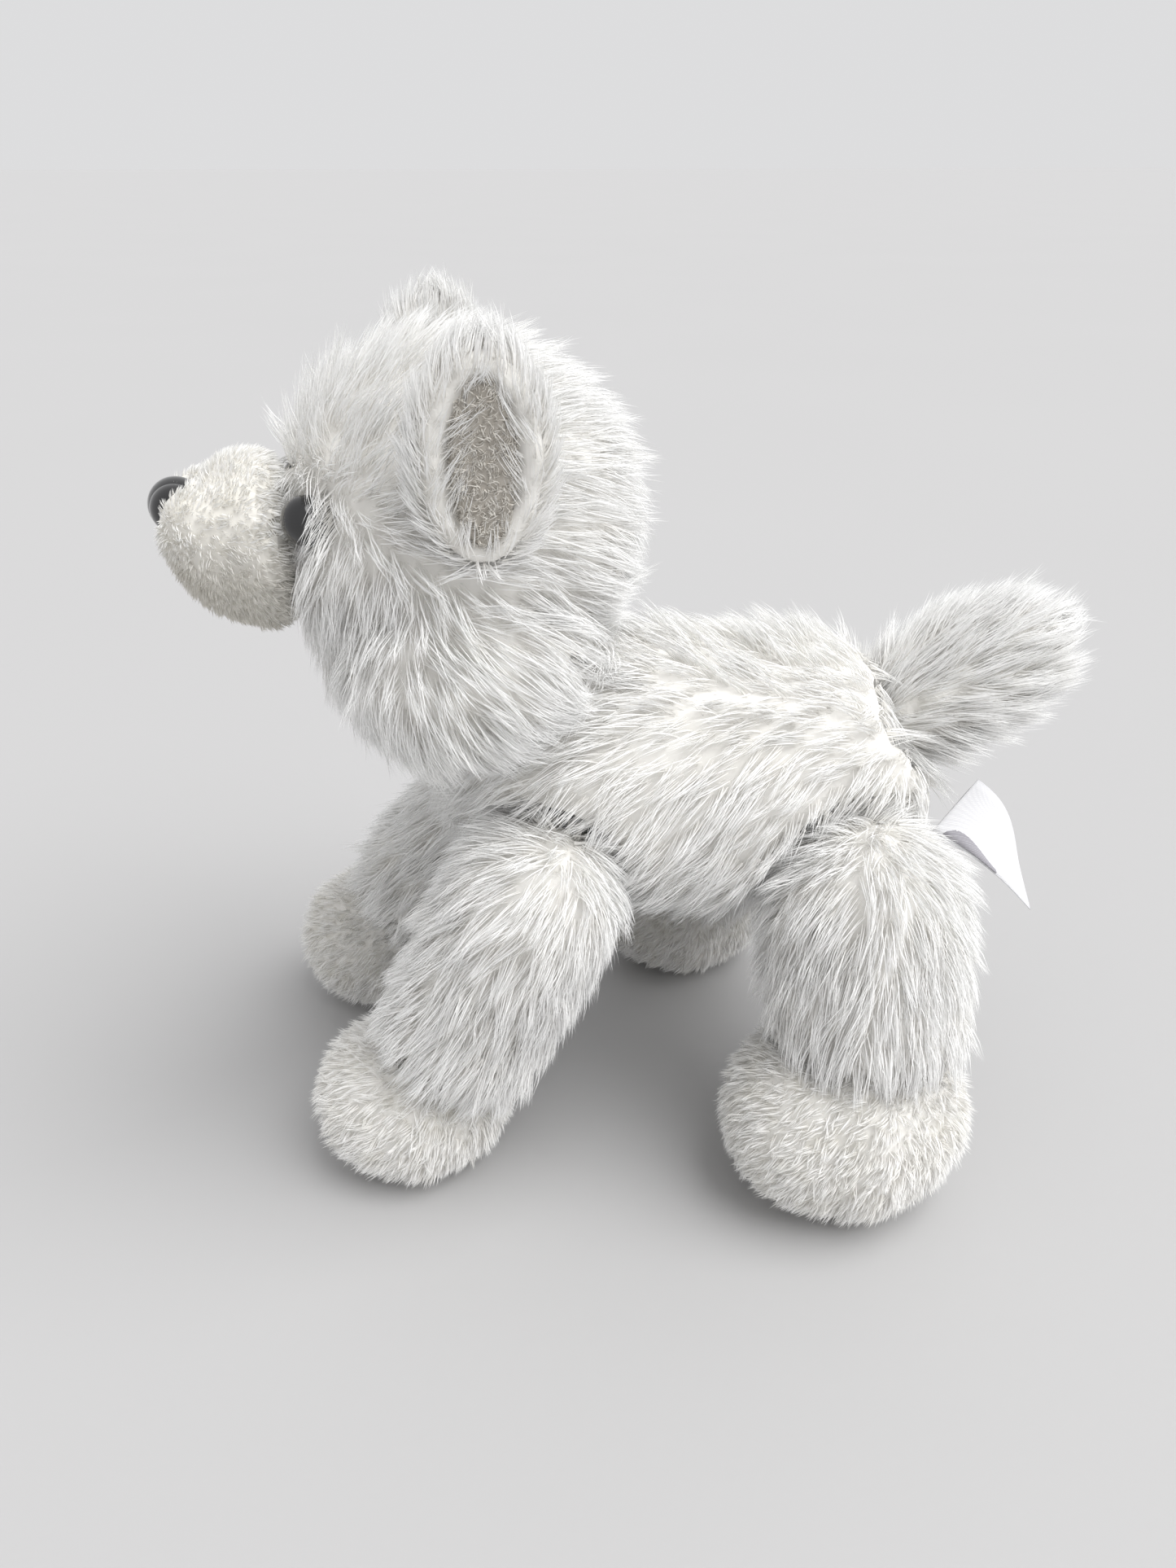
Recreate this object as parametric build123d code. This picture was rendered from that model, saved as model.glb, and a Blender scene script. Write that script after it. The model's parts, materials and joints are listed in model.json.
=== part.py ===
from build123d import *
import math
import os

# Plush dog standing on four weighted paws. Millimetres, +Z up, the dog faces -Y, its left side is +X.
# The working origin is on the ground under the middle of the torso. The finished pieces are moved
# so that the origin is at the bottom centre of the whole dog.

# ---- fabric, filling and fits -----------------------------------------------------------------
LONG_PILE = 7.0  # wall of a long-pile cover: backing cloth plus pressed-down fur
SHORT_PILE = 3.5  # wall of a short-pile cover
SEAM_WALL = 2.0  # cover wall where it is sewn up against a leg, the tail or the neck
FILL_CLEARANCE = 0.4  # between a cover and the piece inside it
HARD_CLEARANCE = 0.1  # between a plastic piece and the cloth round it
JOINT_CLEARANCE = 0.6  # between pieces that move past each other
JOINT_SEAM = 1.2  # thickness of the seam allowance between two moving parts
SWING_MARGIN = 3.0  # degrees left free beyond each end of a swing
FAN_STEPS = 4  # straight runs round the outer edge of a swept room
BOLSTER_END = 0.88  # radius of a padded form's ends, against its middle radius

# ---- torso ------------------------------------------------------------------------------------
BODY_LENGTH = 122.0
BODY_WIDTH = 74.0  # the torso is round, so this is its depth too
BODY_HEIGHT = 100.0  # middle of the torso above the ground
RUMP_DIAMETER = 72.0
RUMP_INSET = 33.0  # rump centre in from the rear end of the torso
RUMP_DROP = 5.0
CHEST_DIAMETER = 70.0
CHEST_INSET = 27.0  # chest centre in from the front end of the torso
CHEST_RISE = 2.0
BELLY_LINE = 19.0  # edge of the belly panel below the middle of the torso
BEAN_POUCH_TOP = 12.0  # top of the belly's bean pouch below the middle of the torso

# ---- neck and head ----------------------------------------------------------------------------
NECK_INSET = 15.0  # neck joint in from the front end of the torso
NECK_RISE = 26.0  # neck joint above the middle of the torso
NECK_TILT = 25.0  # lean of the neck axis towards the nose, degrees
NECK_RADIUS = 22.0
NECK_SEAM_HEIGHT = 11.0
NECK_SEAM_SPREAD = 88.0  # half angle of the neck seam round its ball, degrees
NOD_RANGE = (-12.0, 12.0)
TURN_RANGE = (-30.0, 30.0)
SKULL_DIAMETER = 77.0
SKULL_OFFSET = (0.0, -13.0, 37.0)  # from the neck joint
CHEEK_WIDTH = 86.0
CHEEK_DEPTH = 62.0
CHEEK_OFFSET = (0.0, -14.0, 15.0)
GUSSET_WIDTH = 26.0  # strip of cloth from brow to nape between the two side panels
MUZZLE_LENGTH = 41.0
MUZZLE_WIDTH = 37.5
MUZZLE_OFFSET = (0.0, -51.0, 36.0)
NOSE_WIDTH = 16.0
NOSE_HEIGHT = 11.5
NOSE_RISE = 7.5  # nose above the middle of the muzzle
EYE_DIAMETER = 10.0
EYE_SPREAD = 19.0  # each eye out from the middle
EYE_RISE = 7.0  # eyes above the middle of the skull
EYE_SINK = 2.0  # middle of the eye below the cover's surface
STEM_DIAMETER = 3.2
WASHER_DIAMETER = 11.0
WASHER_THICKNESS = 1.2
WASHER_BORE_CLEARANCE = 0.05
STEM_END = 2.0  # stem left standing beyond its washer

# ---- ears -------------------------------------------------------------------------------------
EAR_WIDTH = 22.0
EAR_HEIGHT = 38.0
EAR_THICKNESS = 7.0
EAR_EDGE_ROUND = 2.4
EAR_BORDER = 3.0  # width of the white edge left round the lining
EAR_LINING = 2.0
EAR_ROOT = (37.5, 1.0, 7.0)  # fold line of the left ear from the middle of the skull
EAR_LEAN = 6.0  # degrees out from upright
EAR_ROOT_RADIUS = 4.5
EAR_FOLD_RANGE = (-5.0, 75.0)

# ---- tail -------------------------------------------------------------------------------------
TAIL_LENGTH = 34.0
TAIL_ROOT_RADIUS = 11.0
TAIL_MIDDLE_RADIUS = 13.0
TAIL_TIP_RADIUS = 10.0
TAIL_SLOPE = 24.0
TAIL_INSET = 11.0  # tail joint in from the rear end of the torso
TAIL_RISE = 9.0
TAIL_LIFT_RANGE = (-25.0, 25.0)
TAIL_WAG_RANGE = (-15.0, 15.0)
TAIL_SIDE_ROOM = 5.0

# ---- labels -----------------------------------------------------------------------------------
LABEL_SIZE = (18.0, 36.0, 0.8)
CARE_LABEL_SIZE = (14.0, 20.0, 0.5)
LABEL_GAP = 0.4
LABEL_SIDE = 12.0
LABEL_SLOPE = -48.0
LABEL_STANDOFF = 1.2  # sewn edge out from the rump
LABEL_DROP = 10.0  # sewn edge below the middle of the rump
LABEL_RANGE = (-20.0, 45.0)

# ---- legs -------------------------------------------------------------------------------------
# side: +1 left, -1 right. hip: out from the middle, in from the torso's end, below its middle.
# ankle: out from the middle, past the hip along Y, above the ground. paw: the same, to its middle.
# radii: leg at the hip, half-way and at the ankle. paw_size: its length and its width.
LEGS = {
    "front_left": dict(
        side=1, end=-1, hip=(26.0, 13.0, 18.0), ankle=(18.5, -21.0, 36.0), paw=(15.0, -31.0, 19.5),
        radii=(19.0, 19.5, 19.0), paw_size=(45.0, 41.0), swing=(-20.0, 26.0), splay=(0.0, 20.0),
    ),
    "front_right": dict(
        side=-1, end=-1, hip=(28.0, 17.0, 20.0), ankle=(49.0, -28.0, 39.0), paw=(57.0, -38.0, 20.0),
        radii=(19.0, 19.5, 19.0), paw_size=(45.0, 41.6), swing=(-20.0, 26.0), splay=(-15.0, 5.0),
    ),
    "hind_left": dict(
        side=1, end=1, hip=(35.0, 31.0, 26.0), ankle=(43.5, 0.0, 40.0), paw=(47.0, -5.0, 22.5),
        radii=(22.0, 23.0, 22.5), paw_size=(56.0, 49.0), swing=(-20.0, 20.0), splay=(-6.0, 15.0),
    ),
    "hind_right": dict(
        side=-1, end=1, hip=(35.0, 38.0, 30.0), ankle=(51.0, -6.0, 38.0), paw=(57.0, -10.0, 20.5),
        radii=(22.0, 22.0, 20.5), paw_size=(50.0, 45.0), swing=(-20.0, 20.0), splay=(-12.0, 8.0),
    ),
}
LEG_SEAM_SPREAD = 55.0  # half angle of the sewn-on cap over each leg's top, degrees

# ---- places worked out from the sizes ---------------------------------------------------------
X, Y, Z = Vector(1, 0, 0), Vector(0, 1, 0), Vector(0, 0, 1)
BEYOND = 400.0  # reaches past the dog from anywhere on it
SURFACE_SEAM = (0.1, 0.2, -1)  # side of a turned form where its surface closes
BALL_SEAM = (0, 0.5, 1)  # the same for a ball, clear of the form joined to it
torso_middle = Vector(0, 0, BODY_HEIGHT)
front_end = -BODY_LENGTH / 2
rear_end = BODY_LENGTH / 2
rump_middle = torso_middle + Vector(0, rear_end - RUMP_INSET, -RUMP_DROP)
chest_middle = torso_middle + Vector(0, front_end + CHEST_INSET, CHEST_RISE)
neck = torso_middle + Vector(0, front_end + NECK_INSET, NECK_RISE)
neck_axis = Z.rotate(Axis.X, NECK_TILT)
neck_side = Y.rotate(Axis.X, NECK_TILT)
skull_middle = neck + Vector(*SKULL_OFFSET)
cheek_middle = neck + Vector(*CHEEK_OFFSET)
muzzle_middle = neck + Vector(*MUZZLE_OFFSET)
tail_root = torso_middle + Vector(0, rear_end - TAIL_INSET, TAIL_RISE)
tail_axis = Y.rotate(Axis.X, TAIL_SLOPE)
rump_reach = math.sqrt((RUMP_DIAMETER / 2) ** 2 - LABEL_DROP**2)
label_root = rump_middle + Vector(LABEL_SIDE, rump_reach + LABEL_STANDOFF, -LABEL_DROP)
socket_growth = 2 * JOINT_CLEARANCE + JOINT_SEAM


def bolster(middle, axis, length, width, inset=0.0):
    """Padded form with rounded ends, its length along axis, drawn in by inset all round."""
    end = width / 2 * BOLSTER_END
    straight = length - 2 * end
    return limb(
        middle - axis * (straight / 2), axis, straight, (end, width / 2, end), inset, round_end=True
    )


def ball(middle, diameter, inset=0.0):
    """Ball drawn in by inset all round, with its poles to the left and right."""
    place = Plane(origin=middle, x_dir=BALL_SEAM, z_dir=X).location
    return place * Sphere(diameter / 2 - inset)


def without(form, rooms):
    """A form with each room taken out of it in turn."""
    for room in rooms:
        form = form - room
    return form


def half_space(point, direction):
    """Everything on the side of point that direction points to."""
    block = Box(BEYOND, BEYOND, BEYOND, align=(Align.CENTER, Align.CENTER, Align.MIN))
    return Plane(origin=point, z_dir=direction).location * block


def slab_x(low, high):
    """Everything between two values of X."""
    return Pos((low + high) / 2, 0, BODY_HEIGHT) * Box(high - low, BEYOND, BEYOND)


def fan(plane, pivot, reach, low, high, radius, from_depth, to_depth):
    """Room swept by an arm that swings in plane, from low to high degrees against its first axis."""
    step_angle = (high - low) / FAN_STEPS
    angles = [math.radians(low + step_angle * step) for step in range(FAN_STEPS + 1)]
    centre = plane.to_local_coords(pivot)
    tips = [(centre.X + reach * math.cos(a), centre.Y + reach * math.sin(a)) for a in angles]
    outline = offset(make_face(Polyline((centre.X, centre.Y), *tips, close=True)), amount=radius)
    start = Plane(origin=plane.origin + plane.z_dir * from_depth, x_dir=plane.x_dir, z_dir=plane.z_dir)
    return extrude(start * outline, amount=to_depth - from_depth, dir=plane.z_dir)


def limb(root, axis, length, radii, inset=0.0, end_inset=0.0, round_end=False):
    """Turned limb: a ball at the root, a middle and an end radius, and a flat or a round end."""
    first, middle, last = (r - inset for r in radii)
    quarter = math.sqrt(0.5)
    end = length if round_end else length - end_inset
    outline = [
        ThreePointArc((0, -first), (first * quarter, -first * quarter), (first, 0)),
        ThreePointArc((first, 0), (middle, length / 2), (last, end)),
    ]
    if round_end:
        outline.append(ThreePointArc((last, end), (last * quarter, end + last * quarter), (0, end + last)))
        top = (0, end + last)
    else:
        outline.append(Line((last, end), (0, end)))
        top = (0, end)
    outline.append(Line(top, (0, -first)))
    turned = revolve(Plane.XZ * make_face(outline), Axis.Z)
    return Plane(origin=root, x_dir=SURFACE_SEAM, z_dir=axis).location * turned


def seam_cap(root, axis, radius, spread):
    """Sewn seam allowance: a thin cap round a ball of the given radius, opposite to axis."""
    inner = radius + JOINT_CLEARANCE
    outer = inner + JOINT_SEAM
    edge = math.radians(spread)
    half = edge / 2
    face = make_face([
        ThreePointArc(
            (0, -outer), (outer * math.sin(half), -outer * math.cos(half)),
            (outer * math.sin(edge), -outer * math.cos(edge)),
        ),
        Line(
            (outer * math.sin(edge), -outer * math.cos(edge)),
            (inner * math.sin(edge), -inner * math.cos(edge)),
        ),
        ThreePointArc(
            (inner * math.sin(edge), -inner * math.cos(edge)),
            (inner * math.sin(half), -inner * math.cos(half)), (0, -inner),
        ),
        Line((0, -inner), (0, -outer)),
    ])
    return Plane(origin=root, z_dir=axis).location * revolve(Plane.XZ * face, Axis.Z)


def leg_places(leg):
    """Hip joint, ankle and paw middle of one leg."""
    side, end = leg["side"], leg["end"]
    out, inset, drop = leg["hip"]
    hip = torso_middle + Vector(side * out, end * (BODY_LENGTH / 2 - inset), -drop)
    ankle = Vector(side * leg["ankle"][0], hip.Y + leg["ankle"][1], leg["ankle"][2])
    paw = Vector(side * leg["paw"][0], hip.Y + leg["paw"][1], leg["paw"][2])
    return hip, ankle, paw


def leg_room(leg, growth):
    """Room that one leg needs in the torso, grown by growth on every side."""
    hip, ankle, _ = leg_places(leg)
    rest = math.degrees(math.atan2(ankle.Z - hip.Z, ankle.Y - hip.Y))
    low, high = leg["swing"]
    radius = leg["radii"][0] + socket_growth + growth
    inner = leg["side"] * hip.X - radius
    depths = sorted((leg["side"] * inner, leg["side"] * BODY_WIDTH))
    return fan(
        Plane.YZ, hip, BODY_WIDTH, rest + low - SWING_MARGIN, rest + high + SWING_MARGIN, radius, *depths
    )


def tail_room(growth):
    """Room that the tail needs in the rump, grown by growth on every side."""
    low, high = TAIL_LIFT_RANGE
    radius = max(TAIL_ROOT_RADIUS + socket_growth, TAIL_MIDDLE_RADIUS + JOINT_CLEARANCE) + growth
    depth = radius + TAIL_SIDE_ROOM
    return fan(
        Plane.YZ, tail_root, BODY_WIDTH, TAIL_SLOPE + low - SWING_MARGIN,
        TAIL_SLOPE + high + SWING_MARGIN, radius, -depth, depth,
    )


def torso_form(inset, seam_inset):
    """Torso with the neck ball on it and the room for legs and tail taken out."""
    spine = rump_middle - chest_middle
    radii = (CHEST_DIAMETER / 2, BODY_WIDTH / 2, RUMP_DIAMETER / 2)
    form = limb(chest_middle, spine.normalized(), spine.length, radii, inset, round_end=True)
    form -= half_space(neck - neck_axis * (JOINT_CLEARANCE + seam_inset), neck_axis)
    form += Pos(neck) * Sphere(NECK_RADIUS - seam_inset)
    for leg in LEGS.values():
        form -= leg_room(leg, seam_inset)
    return form - tail_room(seam_inset)


def head_form(inset, seam_inset):
    """Head with the neck socket and the room for both ears taken out."""
    slope = math.radians(max(abs(angle) for angle in NOD_RANGE) + SWING_MARGIN)
    form = ball(skull_middle, SKULL_DIAMETER, inset)
    form += bolster(cheek_middle, X, CHEEK_WIDTH, CHEEK_DEPTH, inset)
    for way in (-1, 1):
        direction = neck_side * (way * math.sin(slope)) - neck_axis * math.cos(slope)
        form -= half_space(neck - direction * seam_inset, direction)
    form -= Pos(neck) * Sphere(NECK_RADIUS + socket_growth + seam_inset)
    for side in (-1, 1):
        form -= ear_room(side, seam_inset)
    return form


def ear_root(side):
    """Point on the fold line of one ear."""
    return skull_middle + Vector(side * EAR_ROOT[0], EAR_ROOT[1], EAR_ROOT[2])


def ear_room(side, growth):
    """Room that one ear needs in the head, grown by growth on every side."""
    low, high = (90 - EAR_LEAN - angle for angle in reversed(EAR_FOLD_RANGE))
    plane = Plane(origin=(0, 0, 0), x_dir=X * side, z_dir=Y * -side)
    depth = EAR_WIDTH / 2 + JOINT_CLEARANCE + growth
    middle = -side * EAR_ROOT[1] - side * skull_middle.Y
    return fan(
        plane, ear_root(side), EAR_HEIGHT, low - SWING_MARGIN, high + SWING_MARGIN,
        EAR_ROOT_RADIUS + JOINT_CLEARANCE + growth, middle - depth, middle + depth,
    )


pieces = {}

# ---- torso: two sides, belly panel, stuffing and bean pouch ------------------------------------
torso_cover = torso_form(0, 0) - torso_form(LONG_PILE, SEAM_WALL)
belly_edge = torso_middle - Z * BELLY_LINE
upper = torso_cover & half_space(belly_edge, Z)
pieces["left_side_cover"] = upper & slab_x(0, BODY_WIDTH)
pieces["right_side_cover"] = upper & slab_x(-BODY_WIDTH, 0)
pieces["belly_cover"] = torso_cover & half_space(belly_edge, Z * -1)
torso_fill = torso_form(LONG_PILE + FILL_CLEARANCE, SEAM_WALL + FILL_CLEARANCE)
pouch_top = torso_middle - Z * BEAN_POUCH_TOP
pieces["torso_stuffing"] = torso_fill & half_space(pouch_top + Z * FILL_CLEARANCE, Z)
pieces["torso_bean_pouch"] = torso_fill & half_space(pouch_top, Z * -1)

# ---- neck seam ---------------------------------------------------------------------------------
pieces["neck_seam"] = seam_cap(neck, neck_axis * -1, NECK_RADIUS, NECK_SEAM_SPREAD) & (
    half_space(neck + neck_axis * NECK_SEAM_HEIGHT, neck_axis * -1)
)

# ---- safety eyes and nose ----------------------------------------------------------------------
eye_holes = []
eye_pockets = []


def skull_point(x, rise):
    """Point on the front of the skull at the given X and height above its middle, with the normal."""
    reach = math.sqrt((SKULL_DIAMETER / 2) ** 2 - x**2 - rise**2)
    offset_to_point = Vector(x, -reach, rise)
    return skull_middle + offset_to_point, offset_to_point.normalized()


def stem_and_washer(base, outward, wall):
    """Stem from base through a wall, its press-on washer, the stem's hole and the washer's pocket."""
    plane = Plane(origin=base, z_dir=outward * -1)
    lift = (Align.CENTER, Align.CENTER, Align.MIN)
    washer_at = wall + FILL_CLEARANCE
    length = washer_at + WASHER_THICKNESS + STEM_END
    stem = plane.location * Cylinder(STEM_DIAMETER / 2, length, align=lift)
    bore = STEM_DIAMETER / 2 + WASHER_BORE_CLEARANCE
    ring = Cylinder(WASHER_DIAMETER / 2, WASHER_THICKNESS, align=lift)
    ring -= Cylinder(bore, WASHER_THICKNESS, align=lift)
    washer = plane.location * (Pos(0, 0, washer_at) * ring)
    hole = plane.location * Cylinder(STEM_DIAMETER / 2 + HARD_CLEARANCE, washer_at, align=lift)
    pocket = Cylinder(WASHER_DIAMETER / 2 + FILL_CLEARANCE, length - wall + FILL_CLEARANCE, align=lift)
    return stem, washer, hole, plane.location * (Pos(0, 0, wall) * pocket)


for name, side in (("left", 1), ("right", -1)):
    surface, normal = skull_point(side * EYE_SPREAD, EYE_RISE)
    eye_middle = surface - normal * EYE_SINK
    stem, washer, hole, pocket = stem_and_washer(eye_middle, normal, LONG_PILE - EYE_SINK)
    facing = Plane(origin=eye_middle, z_dir=normal).location
    dome = facing * Sphere(EYE_DIAMETER / 2)
    dome -= half_space(eye_middle - normal * EYE_SINK, normal * -1)
    pieces[f"{name}_eye"] = dome + stem
    pieces[f"{name}_eye_washer"] = washer
    eye_holes += [hole, facing * Sphere(EYE_DIAMETER / 2 + HARD_CLEARANCE)]
    eye_pockets.append(pocket)

# ---- muzzle and nose ---------------------------------------------------------------------------
nose_reach = MUZZLE_LENGTH / 2 * math.sqrt(1 - (2 * NOSE_RISE / MUZZLE_WIDTH) ** 2)
nose_middle = muzzle_middle + Vector(0, -nose_reach, NOSE_RISE)
nose_wall = SHORT_PILE + NOSE_HEIGHT / 4
nose_stem, nose_washer, nose_hole, nose_pocket = stem_and_washer(nose_middle, Y * -1, nose_wall)
pieces["nose"] = bolster(nose_middle, X, NOSE_WIDTH, NOSE_HEIGHT) + nose_stem
pieces["nose_washer"] = nose_washer
nose_seat = bolster(nose_middle, X, NOSE_WIDTH, NOSE_HEIGHT, -HARD_CLEARANCE)


def muzzle_form(inset, back):
    """Part of the muzzle that stands out of the head, kept back from the head's surface by back."""
    form = bolster(muzzle_middle, Y, MUZZLE_LENGTH, MUZZLE_WIDTH, inset)
    form -= ball(skull_middle, SKULL_DIAMETER, -back)
    form -= bolster(cheek_middle, X, CHEEK_WIDTH, CHEEK_DEPTH, -back)
    return form & half_space(skull_middle, Y * -1)


muzzle_back = FILL_CLEARANCE + SEAM_WALL
muzzle_shell = muzzle_form(0, FILL_CLEARANCE) - muzzle_form(SHORT_PILE, muzzle_back)
pieces["muzzle_cover"] = without(muzzle_shell, [nose_seat, nose_hole, nose_pocket, *eye_holes])
muzzle_fill = muzzle_form(SHORT_PILE + FILL_CLEARANCE, muzzle_back + FILL_CLEARANCE)
pieces["muzzle_stuffing"] = without(muzzle_fill, [nose_seat, nose_hole, nose_pocket, *eye_holes])

# ---- head covers and stuffing ------------------------------------------------------------------
head_cover = without(head_form(0, 0), [head_form(LONG_PILE, SEAM_WALL), *eye_holes, *eye_pockets])
half_gusset = GUSSET_WIDTH / 2
brow = muzzle_middle + Z * (MUZZLE_WIDTH / 2)
above_muzzle = half_space(brow, Z)
pieces["head_gusset"] = head_cover & slab_x(-half_gusset, half_gusset) & above_muzzle
sides = head_cover - (slab_x(-half_gusset, half_gusset) & above_muzzle)
pieces["head_left_cover"] = sides & slab_x(0, BODY_WIDTH)
pieces["head_right_cover"] = sides & slab_x(-BODY_WIDTH, 0)
pieces["head_stuffing"] = without(
    head_form(LONG_PILE + FILL_CLEARANCE, SEAM_WALL + FILL_CLEARANCE), eye_pockets
)

# ---- ears --------------------------------------------------------------------------------------
for name, side in (("left", 1), ("right", -1)):
    root = ear_root(side)
    upright = Z.rotate(Axis.Y, side * EAR_LEAN)
    outward = X.rotate(Axis.Y, side * EAR_LEAN) * side
    middle = root + upright * (EAR_HEIGHT / 2 - EAR_ROOT_RADIUS)
    place = Plane(origin=middle, x_dir=upright, z_dir=outward).location
    back = extrude(Ellipse(EAR_HEIGHT / 2, EAR_WIDTH / 2), amount=EAR_THICKNESS / 2, both=True)
    back = fillet(back.edges(), EAR_EDGE_ROUND)
    high, wide = EAR_HEIGHT / 2 - EAR_BORDER, EAR_WIDTH / 2 - EAR_BORDER
    lining = Pos(0, 0, EAR_THICKNESS / 2 - EAR_LINING) * extrude(Ellipse(high, wide), amount=EAR_LINING)
    seat = Pos(0, 0, EAR_THICKNESS / 2 - EAR_LINING) * extrude(
        Ellipse(high + HARD_CLEARANCE, wide + HARD_CLEARANCE), amount=EAR_LINING
    )
    pieces[f"{name}_ear_back"] = place * (back - seat)
    pieces[f"{name}_ear_lining"] = place * lining

# ---- tail --------------------------------------------------------------------------------------
tail_radii = (TAIL_ROOT_RADIUS, TAIL_MIDDLE_RADIUS, TAIL_TIP_RADIUS)
tail_outside = limb(tail_root, tail_axis, TAIL_LENGTH, tail_radii, round_end=True)
tail_inside = limb(tail_root, tail_axis, TAIL_LENGTH, tail_radii, LONG_PILE, round_end=True)
pieces["tail_cover"] = tail_outside - tail_inside
pieces["tail_stuffing"] = limb(
    tail_root, tail_axis, TAIL_LENGTH, tail_radii, LONG_PILE + FILL_CLEARANCE, round_end=True
)
pieces["tail_seam"] = seam_cap(tail_root, tail_axis, TAIL_ROOT_RADIUS, LEG_SEAM_SPREAD)

# ---- sewn labels -------------------------------------------------------------------------------
label_place = Pos(label_root) * Rot(LABEL_SLOPE, 0, 0)
label_lift = (Align.CENTER, Align.MIN, Align.CENTER)
pieces["sewn_label"] = label_place * Box(*LABEL_SIZE, align=label_lift)
care_drop = (LABEL_SIZE[2] + CARE_LABEL_SIZE[2]) / 2 + LABEL_GAP
pieces["care_label"] = label_place * (Pos(0, 0, -care_drop) * Box(*CARE_LABEL_SIZE, align=label_lift))

# ---- legs --------------------------------------------------------------------------------------
for name, leg in LEGS.items():
    hip, ankle, paw = leg_places(leg)
    axis = (ankle - hip).normalized()
    length = (ankle - hip).length
    radii = leg["radii"]
    pieces[f"{name}_leg_cover"] = limb(hip, axis, length, radii) - limb(
        hip, axis, length, radii, LONG_PILE, SEAM_WALL
    )
    pieces[f"{name}_leg_stuffing"] = limb(
        hip, axis, length, radii, LONG_PILE + FILL_CLEARANCE, SEAM_WALL + FILL_CLEARANCE
    )
    pieces[f"{name}_leg_seam"] = seam_cap(hip, axis, radii[0], LEG_SEAM_SPREAD)

    def paw_form(inset, seam_inset):
        """Paw below the ankle seam with its flat sole, drawn in by inset."""
        form = bolster(paw, Y, *leg["paw_size"], inset)
        form &= half_space(ankle + axis * seam_inset, axis)
        return form & half_space(Z * seam_inset, Z)

    pieces[f"{name}_paw_cover"] = paw_form(0, 0) - paw_form(SHORT_PILE, SEAM_WALL)
    pieces[f"{name}_paw_beans"] = paw_form(SHORT_PILE + FILL_CLEARANCE, SEAM_WALL + FILL_CLEARANCE)

# ---- move the origin to the bottom centre and write the pieces ---------------------------------
boxes = [piece.bounding_box() for piece in pieces.values()]
middle_x = (min(b.min.X for b in boxes) + max(b.max.X for b in boxes)) / 2
middle_y = (min(b.min.Y for b in boxes) + max(b.max.Y for b in boxes)) / 2
to_row = Pos(-middle_x, -middle_y, 0)

os.makedirs("parts", exist_ok=True)
for name, piece in pieces.items():
    export_step(to_row * piece, f"parts/{name}.step")
    print(f"{name}: {len(piece.solids())} solid(s), {piece.volume:.0f} mm3")
print(f"origin moved by {-middle_x:.3f}, {-middle_y:.3f}")
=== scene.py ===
"""A standing plush dog: long white pile over stuffed parts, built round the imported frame.

Every furred part is a hide, drawn round its stuffing, from which a node tree grows pointed
locks of pile.
Sizes are in millimetres where a name or a comment says so, and every mesh is in metres.
"""

import json
import logging
import math
from dataclasses import dataclass, field, replace
from enum import Enum

import bmesh
import bpy
import numpy as np
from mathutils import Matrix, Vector
from mathutils.bvhtree import BVHTree

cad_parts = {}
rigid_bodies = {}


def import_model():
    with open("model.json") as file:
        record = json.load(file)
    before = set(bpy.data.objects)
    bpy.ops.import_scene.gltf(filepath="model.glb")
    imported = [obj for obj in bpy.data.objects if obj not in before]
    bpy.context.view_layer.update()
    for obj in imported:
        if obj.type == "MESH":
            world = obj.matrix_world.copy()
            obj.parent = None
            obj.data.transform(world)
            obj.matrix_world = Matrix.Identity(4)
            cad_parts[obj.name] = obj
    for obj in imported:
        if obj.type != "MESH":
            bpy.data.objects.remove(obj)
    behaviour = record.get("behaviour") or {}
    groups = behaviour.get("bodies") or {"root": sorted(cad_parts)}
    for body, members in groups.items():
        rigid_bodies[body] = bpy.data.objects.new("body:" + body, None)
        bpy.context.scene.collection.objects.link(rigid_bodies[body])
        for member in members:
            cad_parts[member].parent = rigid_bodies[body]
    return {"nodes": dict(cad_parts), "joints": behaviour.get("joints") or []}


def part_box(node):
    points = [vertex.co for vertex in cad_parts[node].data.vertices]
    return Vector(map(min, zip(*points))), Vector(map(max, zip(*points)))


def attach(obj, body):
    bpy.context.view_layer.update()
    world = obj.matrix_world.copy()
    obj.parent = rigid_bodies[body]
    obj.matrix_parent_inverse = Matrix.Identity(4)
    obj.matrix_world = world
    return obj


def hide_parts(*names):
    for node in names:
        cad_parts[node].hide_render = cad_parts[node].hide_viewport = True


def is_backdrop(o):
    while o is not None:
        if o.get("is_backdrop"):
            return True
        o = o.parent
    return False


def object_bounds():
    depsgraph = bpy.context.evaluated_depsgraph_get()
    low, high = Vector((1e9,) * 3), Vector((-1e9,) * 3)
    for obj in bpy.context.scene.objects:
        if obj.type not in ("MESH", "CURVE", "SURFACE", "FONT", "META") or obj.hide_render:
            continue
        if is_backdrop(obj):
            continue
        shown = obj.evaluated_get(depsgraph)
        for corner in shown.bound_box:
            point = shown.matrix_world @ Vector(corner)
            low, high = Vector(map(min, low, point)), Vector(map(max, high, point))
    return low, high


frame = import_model()

LOG = logging.getLogger("plush_dog")
MM = 0.001
LEG_NAMES = ("front_left", "front_right", "hind_left", "hind_right")

Colour = tuple[float, float, float]
Plug = object


class Side(Enum):
    """Which side of the dog a part is on, as the sign of its X."""

    LEFT = 1
    RIGHT = -1

    @property
    def word(self) -> str:
        """The side's name as the frame writes it."""
        return self.name.lower()


# ---------------------------------------------------------------------------------------------
# Node trees
# ---------------------------------------------------------------------------------------------


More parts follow.
